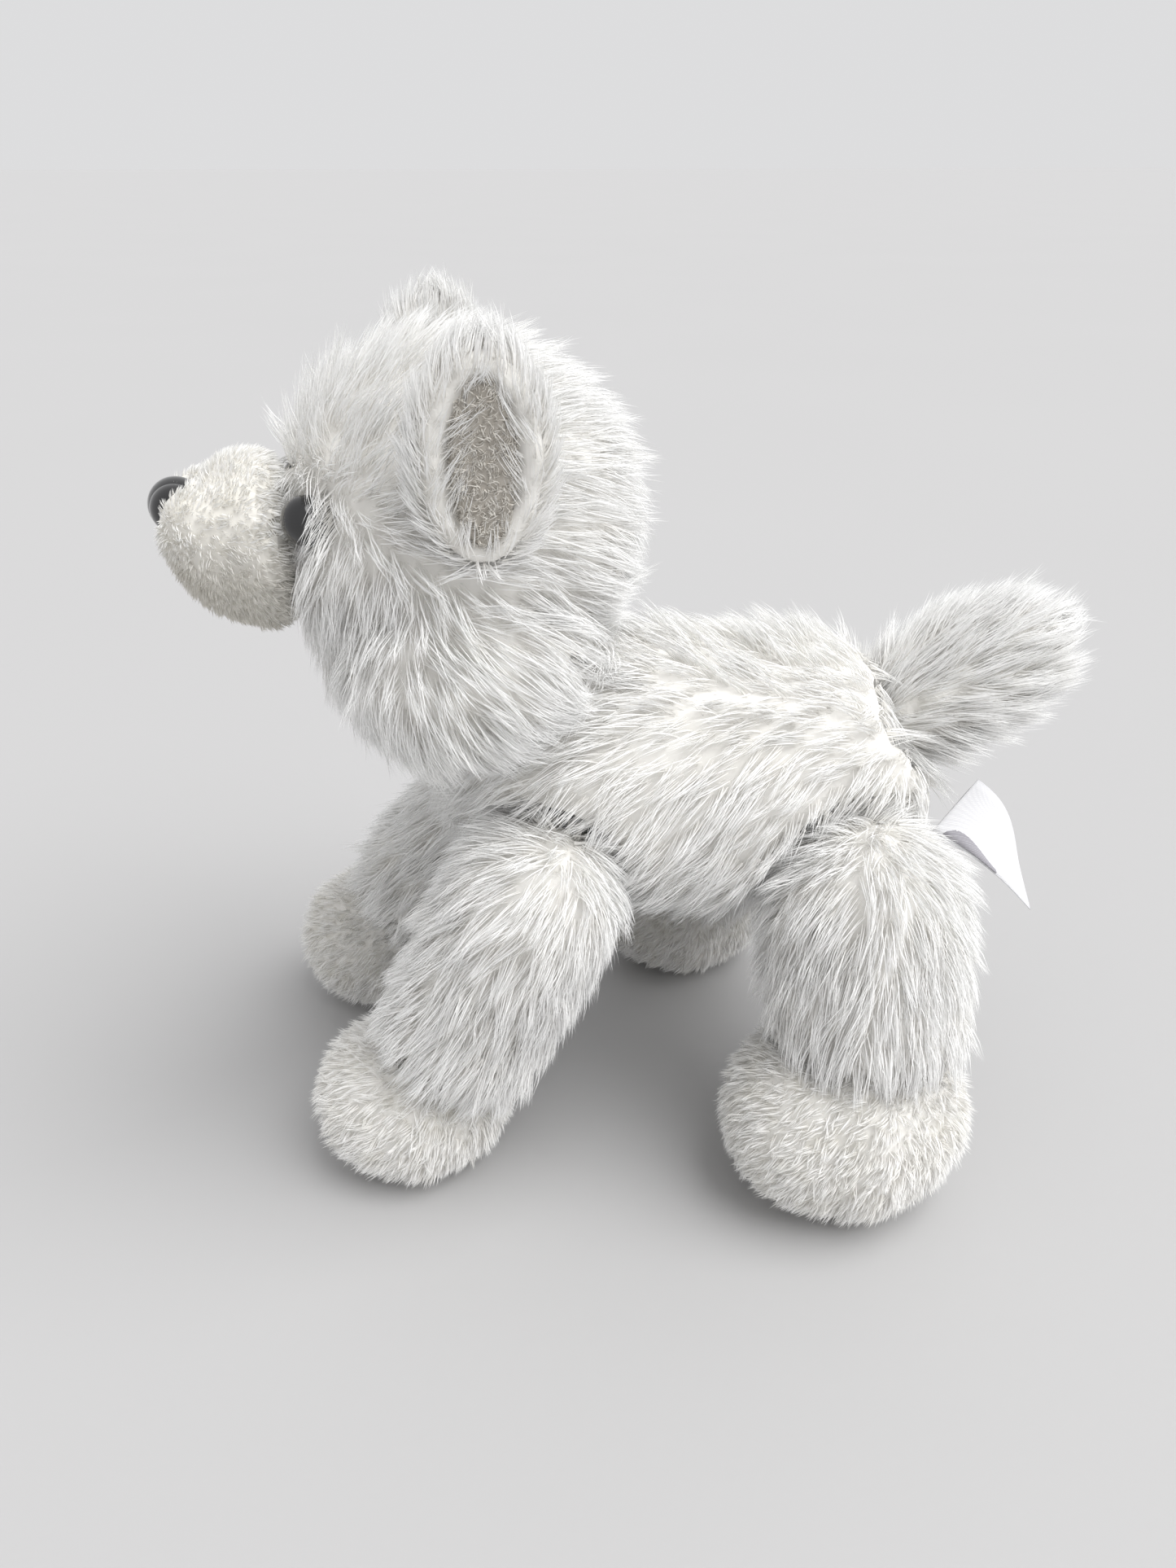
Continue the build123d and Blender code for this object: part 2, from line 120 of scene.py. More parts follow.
class Wiring:
    """A thin layer over a node tree, which adds nodes and joins their sockets by name."""

    def __init__(self, tree: bpy.types.NodeTree) -> None:
        """Keep the tree that nodes are added to."""
        self.tree = tree

    def join(self, socket: bpy.types.NodeSocket, value: Plug) -> None:
        """Link an input to an output, or set it to a plain value.

        Args:
            socket: The input to fill.
            value: Another node's output socket, or a number, colour, name or collection.
        """
        if isinstance(value, bpy.types.NodeSocket):
            self.tree.links.new(value, socket)
        else:
            socket.default_value = value

    def node(
        self, kind: str, plugs: dict[str | int, Plug], **settings: object
    ) -> bpy.types.Node:
        """Add one node.

        Args:
            kind: The node's type name.
            plugs: What goes into its inputs, by name or number.
            settings: Properties of the node, which are set before its inputs are filled.

        Returns:
            The new node.
        """
        made = self.tree.nodes.new(kind)
        for name, value in settings.items():
            setattr(made, name, value)
        for key, value in plugs.items():
            self.join(made.inputs[key], value)
        return made

    def vector(self, operation: str, *values: Plug, scale: Plug = None) -> Plug:
        """Add a vector sum and return its vector output.

        Args:
            operation: ADD, SUBTRACT, SCALE, NORMALIZE or another vector operation.
            values: Its vectors, in order.
            scale: The factor of a SCALE.

        Returns:
            The output socket.
        """
        made = self.node(
            "ShaderNodeVectorMath", dict(enumerate(values)), operation=operation
        )
        if scale is not None:
            self.join(made.inputs["Scale"], scale)
        return made.outputs["Vector"]

    def number(self, operation: str, *values: Plug) -> Plug:
        """Add a sum on numbers and return its output.

        Args:
            operation: ADD, MULTIPLY, SUBTRACT or another operation on numbers.
            values: Its numbers, in order.

        Returns:
            The output socket.
        """
        made = self.node("ShaderNodeMath", dict(enumerate(values)), operation=operation)
        return made.outputs[0]


# ---------------------------------------------------------------------------------------------
# Finishes
# ---------------------------------------------------------------------------------------------


def new_material(name: str) -> tuple[Wiring, bpy.types.Node, bpy.types.Material]:
    """Make a material with one Principled shader.

    Args:
        name: The finish's name.

    Returns:
        The wiring of its tree, its shader node, and the material.
    """
    material = bpy.data.materials.new(name)
    material.use_nodes = True
    return (
        Wiring(material.node_tree),
        material.node_tree.nodes["Principled BSDF"],
        material,
    )


@dataclass(frozen=True)
class PileFinish:
    """Synthetic pile: bright at the tips, with painted shade that darkens it towards the roots,
    and patches of a warmer tone.
    """

    name: str
    # The root colour is darker than the pile's own: painted shade deep in the pile, which the bare
    # hide under the locks also takes.
    root: Colour
    middle: Colour
    tip: Colour
    patch: Colour
    patch_share: float = 0.25
    patch_size: float = 14.0
    roughness: float = 0.8
    sheen: float = 0.3
    tone_spread: float = 0.06
    # under: a colour below a height line, used for the muzzle's cream darkened with painted shade.
    under: Colour | None = None
    under_height: float = 0.0
    under_fade: float = 4.0

    def material(self) -> bpy.types.Material:
        """Build the finish's node tree.

        Returns:
            The material.
        """
        wiring, shader, material = new_material(self.name)
        # Painted shade: the ramp darkens each blade from its tip down to its root.
        along = wiring.node("ShaderNodeAttribute", {}, attribute_name="along")
        ramp = wiring.node("ShaderNodeValToRGB", {0: along.outputs["Fac"]})
        ramp.color_ramp.elements[0].color = (*self.root, 1)
        ramp.color_ramp.elements[1].color = (*self.tip, 1)
        ramp.color_ramp.elements.new(0.42).color = (*self.middle, 1)
        place = wiring.node("ShaderNodeTexCoord", {}).outputs["Object"]
        noise = wiring.node(
            "ShaderNodeTexNoise",
            {"Vector": place, "Scale": 1 / (self.patch_size * MM), "Detail": 3.0},
        )
        spots = wiring.node(
            "ShaderNodeMapRange",
            {"Value": noise.outputs[0], "From Min": 0.45, "From Max": 0.72},
        )
        share = wiring.number("MULTIPLY", spots.outputs[0], self.patch_share)
        colour = self._mix(wiring, "MULTIPLY", share, ramp.outputs[0], self.patch)
        # Below a wavering line the muzzle takes its cream tone, with painted shade under it.
        if self.under is not None:
            colour = self._two_tone(wiring, place, noise.outputs[0], colour)
        tone = wiring.node("ShaderNodeAttribute", {}, attribute_name="tone")
        level = wiring.node(
            "ShaderNodeMapRange",
            {"Value": tone.outputs["Fac"], "To Min": 1 - self.tone_spread},
        )
        shade = wiring.node("ShaderNodeCombineColor", {i: level.outputs[0] for i in range(3)})
        colour = self._mix(wiring, "MULTIPLY", 1.0, colour, shade.outputs[0])
        wiring.join(shader.inputs["Base Color"], colour)
        shader.inputs["Roughness"].default_value = self.roughness
        shader.inputs["Sheen Weight"].default_value = self.sheen
        shader.inputs["Sheen Roughness"].default_value = 0.5
        shader.inputs["Specular IOR Level"].default_value = 0.12
        return material

    def _mix(
        self, wiring: Wiring, blend: str, share: Plug, under: Plug, over: Plug
    ) -> Plug:
        """Mix two colours.

        Args:
            wiring: The material's wiring.
            blend: The kind of mix.
            share: How much of the second colour counts.
            under: The first colour.
            over: The second colour.

        Returns:
            The mixed colour's socket.
        """
        over = over if isinstance(over, bpy.types.NodeSocket) else (*over, 1)
        made = wiring.node(
            "ShaderNodeMix",
            {0: share, 6: under, 7: over},
            data_type="RGBA",
            blend_type=blend,
        )
        return made.outputs[2]

    def _two_tone(self, wiring: Wiring, place: Plug, noise: Plug, above: Plug) -> Plug:
        """Colour the cloth below a wavering line in its cream tone, darkened there with painted
        shade.

        Args:
            wiring: The material's wiring.
            place: Object coordinates.
            noise: A soft noise, which makes the line waver.
            above: The colour above the line.

        Returns:
            The dyed colour's socket.
        """
        height = wiring.node("ShaderNodeSeparateXYZ", {0: place}).outputs["Z"]
        waver = wiring.number("MULTIPLY", noise, 5 * MM)
        level = wiring.number("ADD", height, waver)
        line = self.under_height * MM
        below = wiring.node(
            "ShaderNodeMapRange",
            {
                "Value": level,
                "From Min": line + self.under_fade * MM,
                "From Max": line - self.under_fade * MM,
            },
        )
        return self._mix(wiring, "MIX", below.outputs[0], above, self.under)


@dataclass(frozen=True)
class PlasticFinish:
    """Moulded plastic, with a fine grain and faint clouding."""

    name: str
    colour: Colour
    cloud: Colour
    roughness: float
    coat: float = 0.0
    grain_size: float = 0.25
    grain_depth: float = 0.02

    def material(self) -> bpy.types.Material:
        """Build the finish's node tree.

        Returns:
            The material.
        """
        wiring, shader, material = new_material(self.name)
        place = wiring.node("ShaderNodeTexCoord", {}).outputs["Object"]
        cloud = wiring.node(
            "ShaderNodeTexNoise", {"Vector": place, "Scale": 1 / (3 * MM), "Detail": 2.0}
        )
        ramp = wiring.node("ShaderNodeValToRGB", {0: cloud.outputs[0]})
        ramp.color_ramp.elements[0].color = (*self.colour, 1)
        ramp.color_ramp.elements[1].color = (*self.cloud, 1)
        grain = wiring.node(
            "ShaderNodeTexNoise",
            {"Vector": place, "Scale": 1 / (self.grain_size * MM), "Detail": 1.0},
        )
        bump = wiring.node(
            "ShaderNodeBump",
            {
                "Height": grain.outputs[0],
                "Strength": 0.2,
                "Distance": self.grain_depth * MM,
            },
        )
        wiring.join(shader.inputs["Base Color"], ramp.outputs[0])
        wiring.join(shader.inputs["Normal"], bump.outputs[0])
        shader.inputs["Roughness"].default_value = self.roughness
        shader.inputs["Coat Weight"].default_value = self.coat
        shader.inputs["Coat Roughness"].default_value = 0.03
        return material


@dataclass(frozen=True)
class WovenFinish:
    """Plain woven tape or cloth, whose threads follow the piece's place."""

    name: str
    warp: Colour
    weft: Colour
    thread: float
    roughness: float = 0.8
    sheen: float = 0.15

    def material(self) -> bpy.types.Material:
        """Build the finish's node tree.

        Returns:
            The material.
        """
        wiring, shader, material = new_material(self.name)
        place = wiring.node("ShaderNodeTexCoord", {}).outputs["Object"]
        weave = [
            wiring.node(
                "ShaderNodeTexWave",
                {"Vector": place, "Scale": 1 / (self.thread * MM * 6.3), "Distortion": 0.4},
                bands_direction=way,
            ).outputs[1]
            for way in ("X", "Z")
        ]
        threads = wiring.number("MULTIPLY", *weave)
        ramp = wiring.node("ShaderNodeValToRGB", {0: threads})
        ramp.color_ramp.elements[0].color = (*self.weft, 1)
        ramp.color_ramp.elements[1].color = (*self.warp, 1)
        bump = wiring.node(
            "ShaderNodeBump", {"Height": threads, "Strength": 0.5, "Distance": 0.1 * MM}
        )
        wiring.join(shader.inputs["Base Color"], ramp.outputs[0])
        wiring.join(shader.inputs["Normal"], bump.outputs[0])
        shader.inputs["Roughness"].default_value = self.roughness
        shader.inputs["Sheen Weight"].default_value = self.sheen
        return material


# Each root colour is painted shade deep in the pile and on the hide under it; the tips carry the
# pile's own colour.
LONG_WHITE = PileFinish(
    "long_white_pile",
    root=(0.91, 0.895, 0.86),
    middle=(0.97, 0.967, 0.955),
    tip=(0.99, 0.99, 0.985),
    patch=(0.97, 0.96, 0.93),
)
SHORT_WHITE = PileFinish(
    "short_white_pile",
    root=(0.90, 0.885, 0.85),
    middle=(0.95, 0.94, 0.92),
    tip=(0.98, 0.98, 0.97),
    patch=(0.90, 0.89, 0.85),
    patch_share=0.6,
    patch_size=6.0,
)
MUZZLE_PLUSH = PileFinish(
    "muzzle_plush",
    root=(0.86, 0.84, 0.79),
    middle=(0.95, 0.945, 0.93),
    tip=(0.985, 0.985, 0.975),
    patch=(0.92, 0.91, 0.87),
    patch_share=0.4,
    patch_size=5.0,
    # The lower muzzle's cream, darkened with painted shade.
    under=(0.80, 0.78, 0.73),
    under_height=164.0,
)
EAR_PLUSH = PileFinish(
    "looped_ear_plush",
    root=(0.62, 0.58, 0.52),
    middle=(0.80, 0.77, 0.71),
    tip=(0.90, 0.88, 0.83),
    patch=(0.80, 0.78, 0.74),
    patch_size=3.0,
    tone_spread=0.25,
)
BLACK_PLASTIC = PlasticFinish(
    "glossy_black_plastic", (0.006, 0.006, 0.007), (0.012, 0.012, 0.013), 0.12, coat=0.6
)
MILKY_PLASTIC = PlasticFinish(
    "milky_washer_plastic", (0.72, 0.71, 0.67), (0.80, 0.79, 0.76), 0.45
)
LABEL_TAPE = WovenFinish("label_tape", (0.90, 0.90, 0.91), (0.80, 0.80, 0.82), 0.22)
CARE_TAPE = WovenFinish("care_tape", (0.44, 0.43, 0.46), (0.34, 0.33, 0.36), 0.22)


class Dyes:
    """The materials made so far, so that pieces of one finish share one material."""

    def __init__(self) -> None:
        """Start with no materials."""
        self.made: dict[str, bpy.types.Material] = {}

    def of(self, finish: PileFinish | PlasticFinish | WovenFinish) -> bpy.types.Material:
        """Return the finish's material, made on first use."""
        if finish.name not in self.made:
            self.made[finish.name] = finish.material()
        return self.made[finish.name]


DYES = Dyes()


# ---------------------------------------------------------------------------------------------
# Locks of pile
# ---------------------------------------------------------------------------------------------


@dataclass(frozen=True)
class Lock:
    """One pointed lock: thin blades that spring from a small patch and close up at the tip."""

    name: str
    length: float
    patch: float
    gather: float
    blades: int
    width: float
    bend: float
    joints: int = 2
    kinds: int = 5
    curl: float = 0.0

    def blade(
        self, rng: np.random.Generator
    ) -> tuple[list[tuple[float, float, float]], list[float]]:
        """Work out one blade.

        Args:
            rng: The source of its random shape.

        Returns:
            Its points, in pairs from the root and with one at the tip, and how far along each is.
        """
        angle, facing = rng.uniform(0, 2 * math.pi, 2)
        radius = self.patch * math.sqrt(rng.uniform(0, 1))
        reach = self.length * rng.uniform(0.72, 1.06)
        bend = self.bend * rng.uniform(0.7, 1.3)
        stray = rng.normal(0, 0.07, 2) * reach
        points, shares = [], []
        for step in range(self.joints + 2):
            share = step / (self.joints + 1)
            closing = radius * (1 - self.gather * share)
            turn = angle + self.curl * share
            x = closing * math.cos(turn) + stray[0] * share - bend * reach * share**2
            y = closing * math.sin(turn) + stray[1] * share
            z = reach * (share - 0.3 * bend * share**2)
            half = self.width / 2 * (1 - share) ** 0.5
            sides = (-half, half) if step <= self.joints else (0.0,)
            for offset in sides:
                points.append(
                    (x + offset * math.cos(facing), y + offset * math.sin(facing), z)
                )
                shares.append(share)
        return points, shares

    def mesh(self, name: str, seed: int) -> bpy.types.Mesh:
        """Build one kind of this lock.

        Args:
            name: The mesh's name.
            seed: The seed of its random shape.

        Returns:
            The mesh, in metres, growing along +Z and bending towards -X.
        """
        rng = np.random.default_rng(seed)
        points, shares, faces = [], [], []
        for _ in range(self.blades):
            start = len(points)
            more_points, more_shares = self.blade(rng)
            points += [tuple(c * MM for c in p) for p in more_points]
            shares += more_shares
            for step in range(self.joints):
                low = start + 2 * step
                faces.append((low, low + 1, low + 3, low + 2))
            last = start + 2 * self.joints
            faces.append((last, last + 1, last + 2))
        mesh = bpy.data.meshes.new(name)
        mesh.from_pydata(points, [], faces)
        along = mesh.attributes.new("along", "FLOAT", "POINT")
        along.data.foreach_set("value", shares)
        return mesh

    def collection(self) -> bpy.types.Collection:
        """Make every kind of this lock, in a collection for the node tree to pick from.

        Returns:
            The collection.
        """
        found = bpy.data.collections.get(self.name)
        if found:
            return found
        made = bpy.data.collections.new(self.name)
        bpy.context.scene.collection.children.link(made)
        for kind in range(self.kinds):
            label = f"{self.name}_{kind}"
            made.objects.link(bpy.data.objects.new(label, self.mesh(label, 11 + kind)))
        return made


# Lengths, patches and widths in millimetres.
LONG_LOCK = Lock("long_lock", 13.0, 2.6, 0.75, 24, 0.24, 0.24)
TAIL_LOCK = Lock("tail_lock", 15.0, 2.2, 0.65, 20, 0.30, 0.15)
EAR_LOCK = Lock("ear_lock", 9.5, 1.6, 0.6, 14, 0.26, 0.22)
SHORT_LOCK = Lock("short_lock", 5.0, 1.0, 0.4, 10, 0.28, 0.2, joints=1)
MUZZLE_LOCK = Lock("muzzle_lock", 2.6, 0.8, 0.2, 8, 0.26, 0.22, joints=1)
LOOP_LOCK = Lock("loop_lock", 1.6, 0.45, -0.2, 4, 0.34, 0.9, joints=1, curl=2.0)


@dataclass(frozen=True)
class Growth:
    """How locks stand on a hide."""

    lock: Lock
    spacing: float
    lift: float = 0.75
    comb: float = 0.85
    stray: float = 0.16
    wave: float = 0.9
    wave_size: float = 22.0
    clump: float = 8.0
    pull: float = 0.32
    shortest: float = 0.75
    longest: float = 1.1
    seed: int = 5

    def settings(self) -> dict[str, object]:
        """The values of the node tree's named inputs."""
        return {
            "Spacing": self.spacing * MM,
            "Density": 1.4 / (self.spacing * MM) ** 2,
            "Locks": self.lock.collection(),
            "Lift": self.lift,
            "Comb": self.comb,
            "Stray": self.stray,
            "Wave": self.wave,
            "Wave Scale": 1 / (self.wave_size * MM),
            "Clump Scale": 1 / (self.clump * MM),
            "Pull": self.pull / (self.clump * MM),
            "Shortest": self.shortest,
            "Longest": self.longest,
            "Seed": self.seed,
        }


class PileTree:
    """The node tree that grows locks on a hide by its comb, length and density attributes."""

    INPUTS = {
        "Spacing": "NodeSocketFloat",
        "Density": "NodeSocketFloat",
        "Locks": "NodeSocketCollection",
        "Lift": "NodeSocketFloat",
        "Comb": "NodeSocketFloat",
        "Stray": "NodeSocketFloat",
        "Wave": "NodeSocketFloat",
        "Wave Scale": "NodeSocketFloat",
        "Clump Scale": "NodeSocketFloat",
        "Pull": "NodeSocketFloat",
        "Shortest": "NodeSocketFloat",
        "Longest": "NodeSocketFloat",
        "Seed": "NodeSocketInt",
        "Finish": "NodeSocketMaterial",
    }

    def __init__(self) -> None:
        """Build the tree once, for every furred piece."""
        tree = bpy.data.node_groups.new("grown_pile", "GeometryNodeTree")
        tree.is_modifier = True
        self.tree = tree
        self.sockets: dict[str, str] = {}
        tree.interface.new_socket("Geometry", in_out="INPUT", socket_type="NodeSocketGeometry")
        tree.interface.new_socket("Geometry", in_out="OUTPUT", socket_type="NodeSocketGeometry")
        for name, kind in self.INPUTS.items():
            made = tree.interface.new_socket(name, in_out="INPUT", socket_type=kind)
            self.sockets[name] = made.identifier
        self.wiring = Wiring(tree)
        self.given = tree.nodes.new("NodeGroupInput").outputs
        self._wire()

    def _attribute(self, name: str, kind: str) -> Plug:
        """Read one of the hide's attributes.

        Args:
            name: The attribute's name.
            kind: Its data type.

        Returns:
            The output socket.
        """
        made = self.wiring.node(
            "GeometryNodeInputNamedAttribute", {"Name": name}, data_type=kind
        )
        return made.outputs["Attribute"]

    def _direction(self, normal: Plug) -> Plug:
        """Work out which way each lock grows.

        Args:
            normal: The hide's normal at the lock.

        Returns:
            The socket of the direction.
        """
        wiring, given = self.wiring, self.given
        place = wiring.node("GeometryNodeInputPosition", {}).outputs[0]
        comb = wiring.vector("SCALE", self._attribute("comb", "FLOAT_VECTOR"), scale=given["Comb"])
        stand = wiring.vector("SCALE", normal, scale=given["Lift"])
        cell = wiring.node(
            "ShaderNodeTexVoronoi",
            {"Vector": place, "Scale": given["Clump Scale"], "Randomness": 0.9},
        )
        inward = wiring.vector("SUBTRACT", cell.outputs["Position"], place)
        gather = wiring.vector("SCALE", inward, scale=given["Pull"])
        noise = wiring.node(
            "ShaderNodeTexNoise",
            {"Vector": place, "Scale": given["Wave Scale"], "Detail": 1.0},
        )
        centred = wiring.vector("SUBTRACT", noise.outputs["Color"], (0.5, 0.5, 0.5))
        wave = wiring.vector("SCALE", centred, scale=given["Wave"])
        random = wiring.node(
            "FunctionNodeRandomValue",
            {0: (-1, -1, -1), 1: (1, 1, 1), "Seed": given["Seed"]},
            data_type="FLOAT_VECTOR",
        )
        stray = wiring.vector("SCALE", random.outputs[0], scale=given["Stray"])
        total = wiring.vector("ADD", comb, stand)
        for part in (gather, wave, stray):
            total = wiring.vector("ADD", total, part)
        return wiring.vector("NORMALIZE", total)

    def _random_number(self, low: Plug, high: Plug, shift: int) -> Plug:
        """A random number for each lock.

        Args:
            low: Its lowest value.
            high: Its highest value.
            shift: Added to the seed, so that each use differs.

        Returns:
            The output socket.
        """
        seed = self.wiring.number("ADD", self.given["Seed"], float(shift))
        made = self.wiring.node(
            "FunctionNodeRandomValue", {2: low, 3: high, "Seed": seed}, data_type="FLOAT"
        )
        return made.outputs[1]

    def _wire(self) -> None:
        """Join the nodes: points on the hide, a lock on each, real geometry, one finish."""
        wiring, given = self.wiring, self.given
        spread = wiring.node(
            "GeometryNodeDistributePointsOnFaces",
            {},
            distribute_method="POISSON",
        )
        plugs = {
            "Mesh": given["Geometry"],
            "Distance Min": given["Spacing"],
            "Density Max": given["Density"],
            "Density Factor": self._attribute("density", "FLOAT"),
            "Seed": given["Seed"],
        }
        for name, value in plugs.items():
            wiring.join(spread.inputs[name], value)
        normal = spread.outputs["Normal"]
        growing = wiring.node(
            "FunctionNodeAlignRotationToVector", {"Vector": self._direction(normal)}, axis="Z"
        )
        facing = wiring.node(
            "FunctionNodeAlignRotationToVector",
            {"Rotation": growing.outputs[0], "Vector": normal},
            axis="X",
            pivot_axis="Z",
        )
        size = wiring.number(
            "MULTIPLY",
            self._attribute("length", "FLOAT"),
            self._random_number(given["Shortest"], given["Longest"], 1),
        )
        locks = wiring.node(
            "GeometryNodeCollectionInfo",
            {"Collection": given["Locks"], "Separate Children": True, "Reset Children": True},
        )
        placed = wiring.node(
            "GeometryNodeInstanceOnPoints",
            {
                "Points": spread.outputs["Points"],
                "Instance": locks.outputs[0],
                "Pick Instance": True,
                "Rotation": facing.outputs[0],
                "Scale": size,
            },
        )
        toned = wiring.node(
            "GeometryNodeStoreNamedAttribute",
            {
                "Geometry": placed.outputs[0],
                "Name": "tone",
                "Value": self._random_number(0.0, 1.0, 2),
            },
            data_type="FLOAT",
            domain="INSTANCE",
        )
        # The hide joins the locks and, having no along attribute, takes the root colour: painted
        # shade under the pile.
        joined = wiring.node("GeometryNodeJoinGeometry", {})
        wiring.join(joined.inputs[0], toned.outputs[0])
        wiring.join(joined.inputs[0], given["Geometry"])
        real = wiring.node("GeometryNodeRealizeInstances", {"Geometry": joined.outputs[0]})
        dressed = wiring.node(
            "GeometryNodeSetMaterial",
            {"Geometry": real.outputs[0], "Material": given["Finish"]},
        )
        out = self.tree.nodes.new("NodeGroupOutput")
        wiring.join(out.inputs[0], dressed.outputs[0])

    def grow(self, hide: bpy.types.Object, growth: Growth, finish: PileFinish) -> bpy.types.Mesh:
        """Grow pile on a hide.

        Args:
            hide: The object, whose mesh carries the attributes.
            growth: How the locks stand.
            finish: The pile's finish.

        Returns:
            A plain mesh of the hide and its locks.
        """
        modifier = hide.modifiers.new("Pile", "NODES")
        modifier.node_group = self.tree
        for name, value in growth.settings().items():
            modifier[self.sockets[name]] = value
        modifier[self.sockets["Finish"]] = DYES.of(finish)
        bpy.context.view_layer.update()
        graph = bpy.context.evaluated_depsgraph_get()
        grown = bpy.data.meshes.new_from_object(hide.evaluated_get(graph))
        hide.modifiers.remove(modifier)
        return grown


# ---------------------------------------------------------------------------------------------
# Hides
# ---------------------------------------------------------------------------------------------


def read_vectors(source: bpy.types.bpy_prop_collection, key: str) -> np.ndarray:
    """Read one vector of every item.

    Args:
        source: Vertices, or vertex normals.
        key: The property's name.

    Returns:
        An array of as many rows as items.
    """
    flat = np.empty(len(source) * 3, np.float32)
    source.foreach_get(key, flat)
    return flat.reshape(-1, 3).astype(float)


def frame_bmesh(nodes: tuple[str, ...]) -> bmesh.types.BMesh:
    """Gather copies of frame nodes, with their doubled points merged.

    Args:
        nodes: The frame's node names.

    Returns:
        A new bmesh.
    """
    gathered = bmesh.new()
    for node in nodes:
        gathered.from_mesh(frame["nodes"][node].data)
    bmesh.ops.remove_doubles(gathered, verts=gathered.verts, dist=0.002 * MM)
    return gathered


def nearest_distances(points: np.ndarray, nodes: tuple[str, ...]) -> np.ndarray:
    """Measure how far points are from frame nodes.

    Args:
        points: The points, in metres.
        nodes: The frame's node names.

    Returns:
        A distance for each point, or a metre where there is no node.
    """
    if not nodes:
        return np.ones(len(points))
    gathered = frame_bmesh(nodes)
    tree = BVHTree.FromBMesh(gathered)
    found = np.array([tree.find_nearest(Vector(p))[3] for p in points])
    gathered.free()
    return found


def ramp(values: np.ndarray, low: float, high: float) -> np.ndarray:
    """Turn values into shares that rise smoothly from 0 at low to 1 at high."""
    share = np.clip((values - low) / (high - low), 0, 1)
    return share * share * (3 - 2 * share)


def unit(vectors: np.ndarray) -> np.ndarray:
    """Scale each row to length 1."""
    return vectors / np.maximum(np.linalg.norm(vectors, axis=1), 1e-9)[:, None]


@dataclass(frozen=True)
class Whorl:
    """A point from which the pile fans out, with how far its pull reaches, in millimetres."""

    centre: Vector
    reach: float
    strength: float = 1.0


@dataclass(frozen=True)
class Combing:
    """Which way a hide's pile is combed."""

    sweep: Vector
    whorls: tuple[Whorl, ...] = ()
    drop: float = 0.0

    def directions(self, points: np.ndarray, normals: np.ndarray) -> np.ndarray:
        """Work out the combed direction at each point of a hide.

        Args:
            points: The hide's points.
            normals: Its normals there.

        Returns:
            Unit vectors along the hide.
        """
        total = np.tile(np.array(self.sweep, float), (len(points), 1))
        total[:, 2] -= self.drop * (1 - np.abs(normals[:, 2]))
        for whorl in self.whorls:
            away = points - np.array(whorl.centre)
            distance = np.linalg.norm(away, axis=1)
            pull = whorl.strength * np.exp(-((distance / (whorl.reach * MM)) ** 2))
            total += unit(away) * pull[:, None]
        total -= normals * (total * normals).sum(1)[:, None]
        return unit(total)


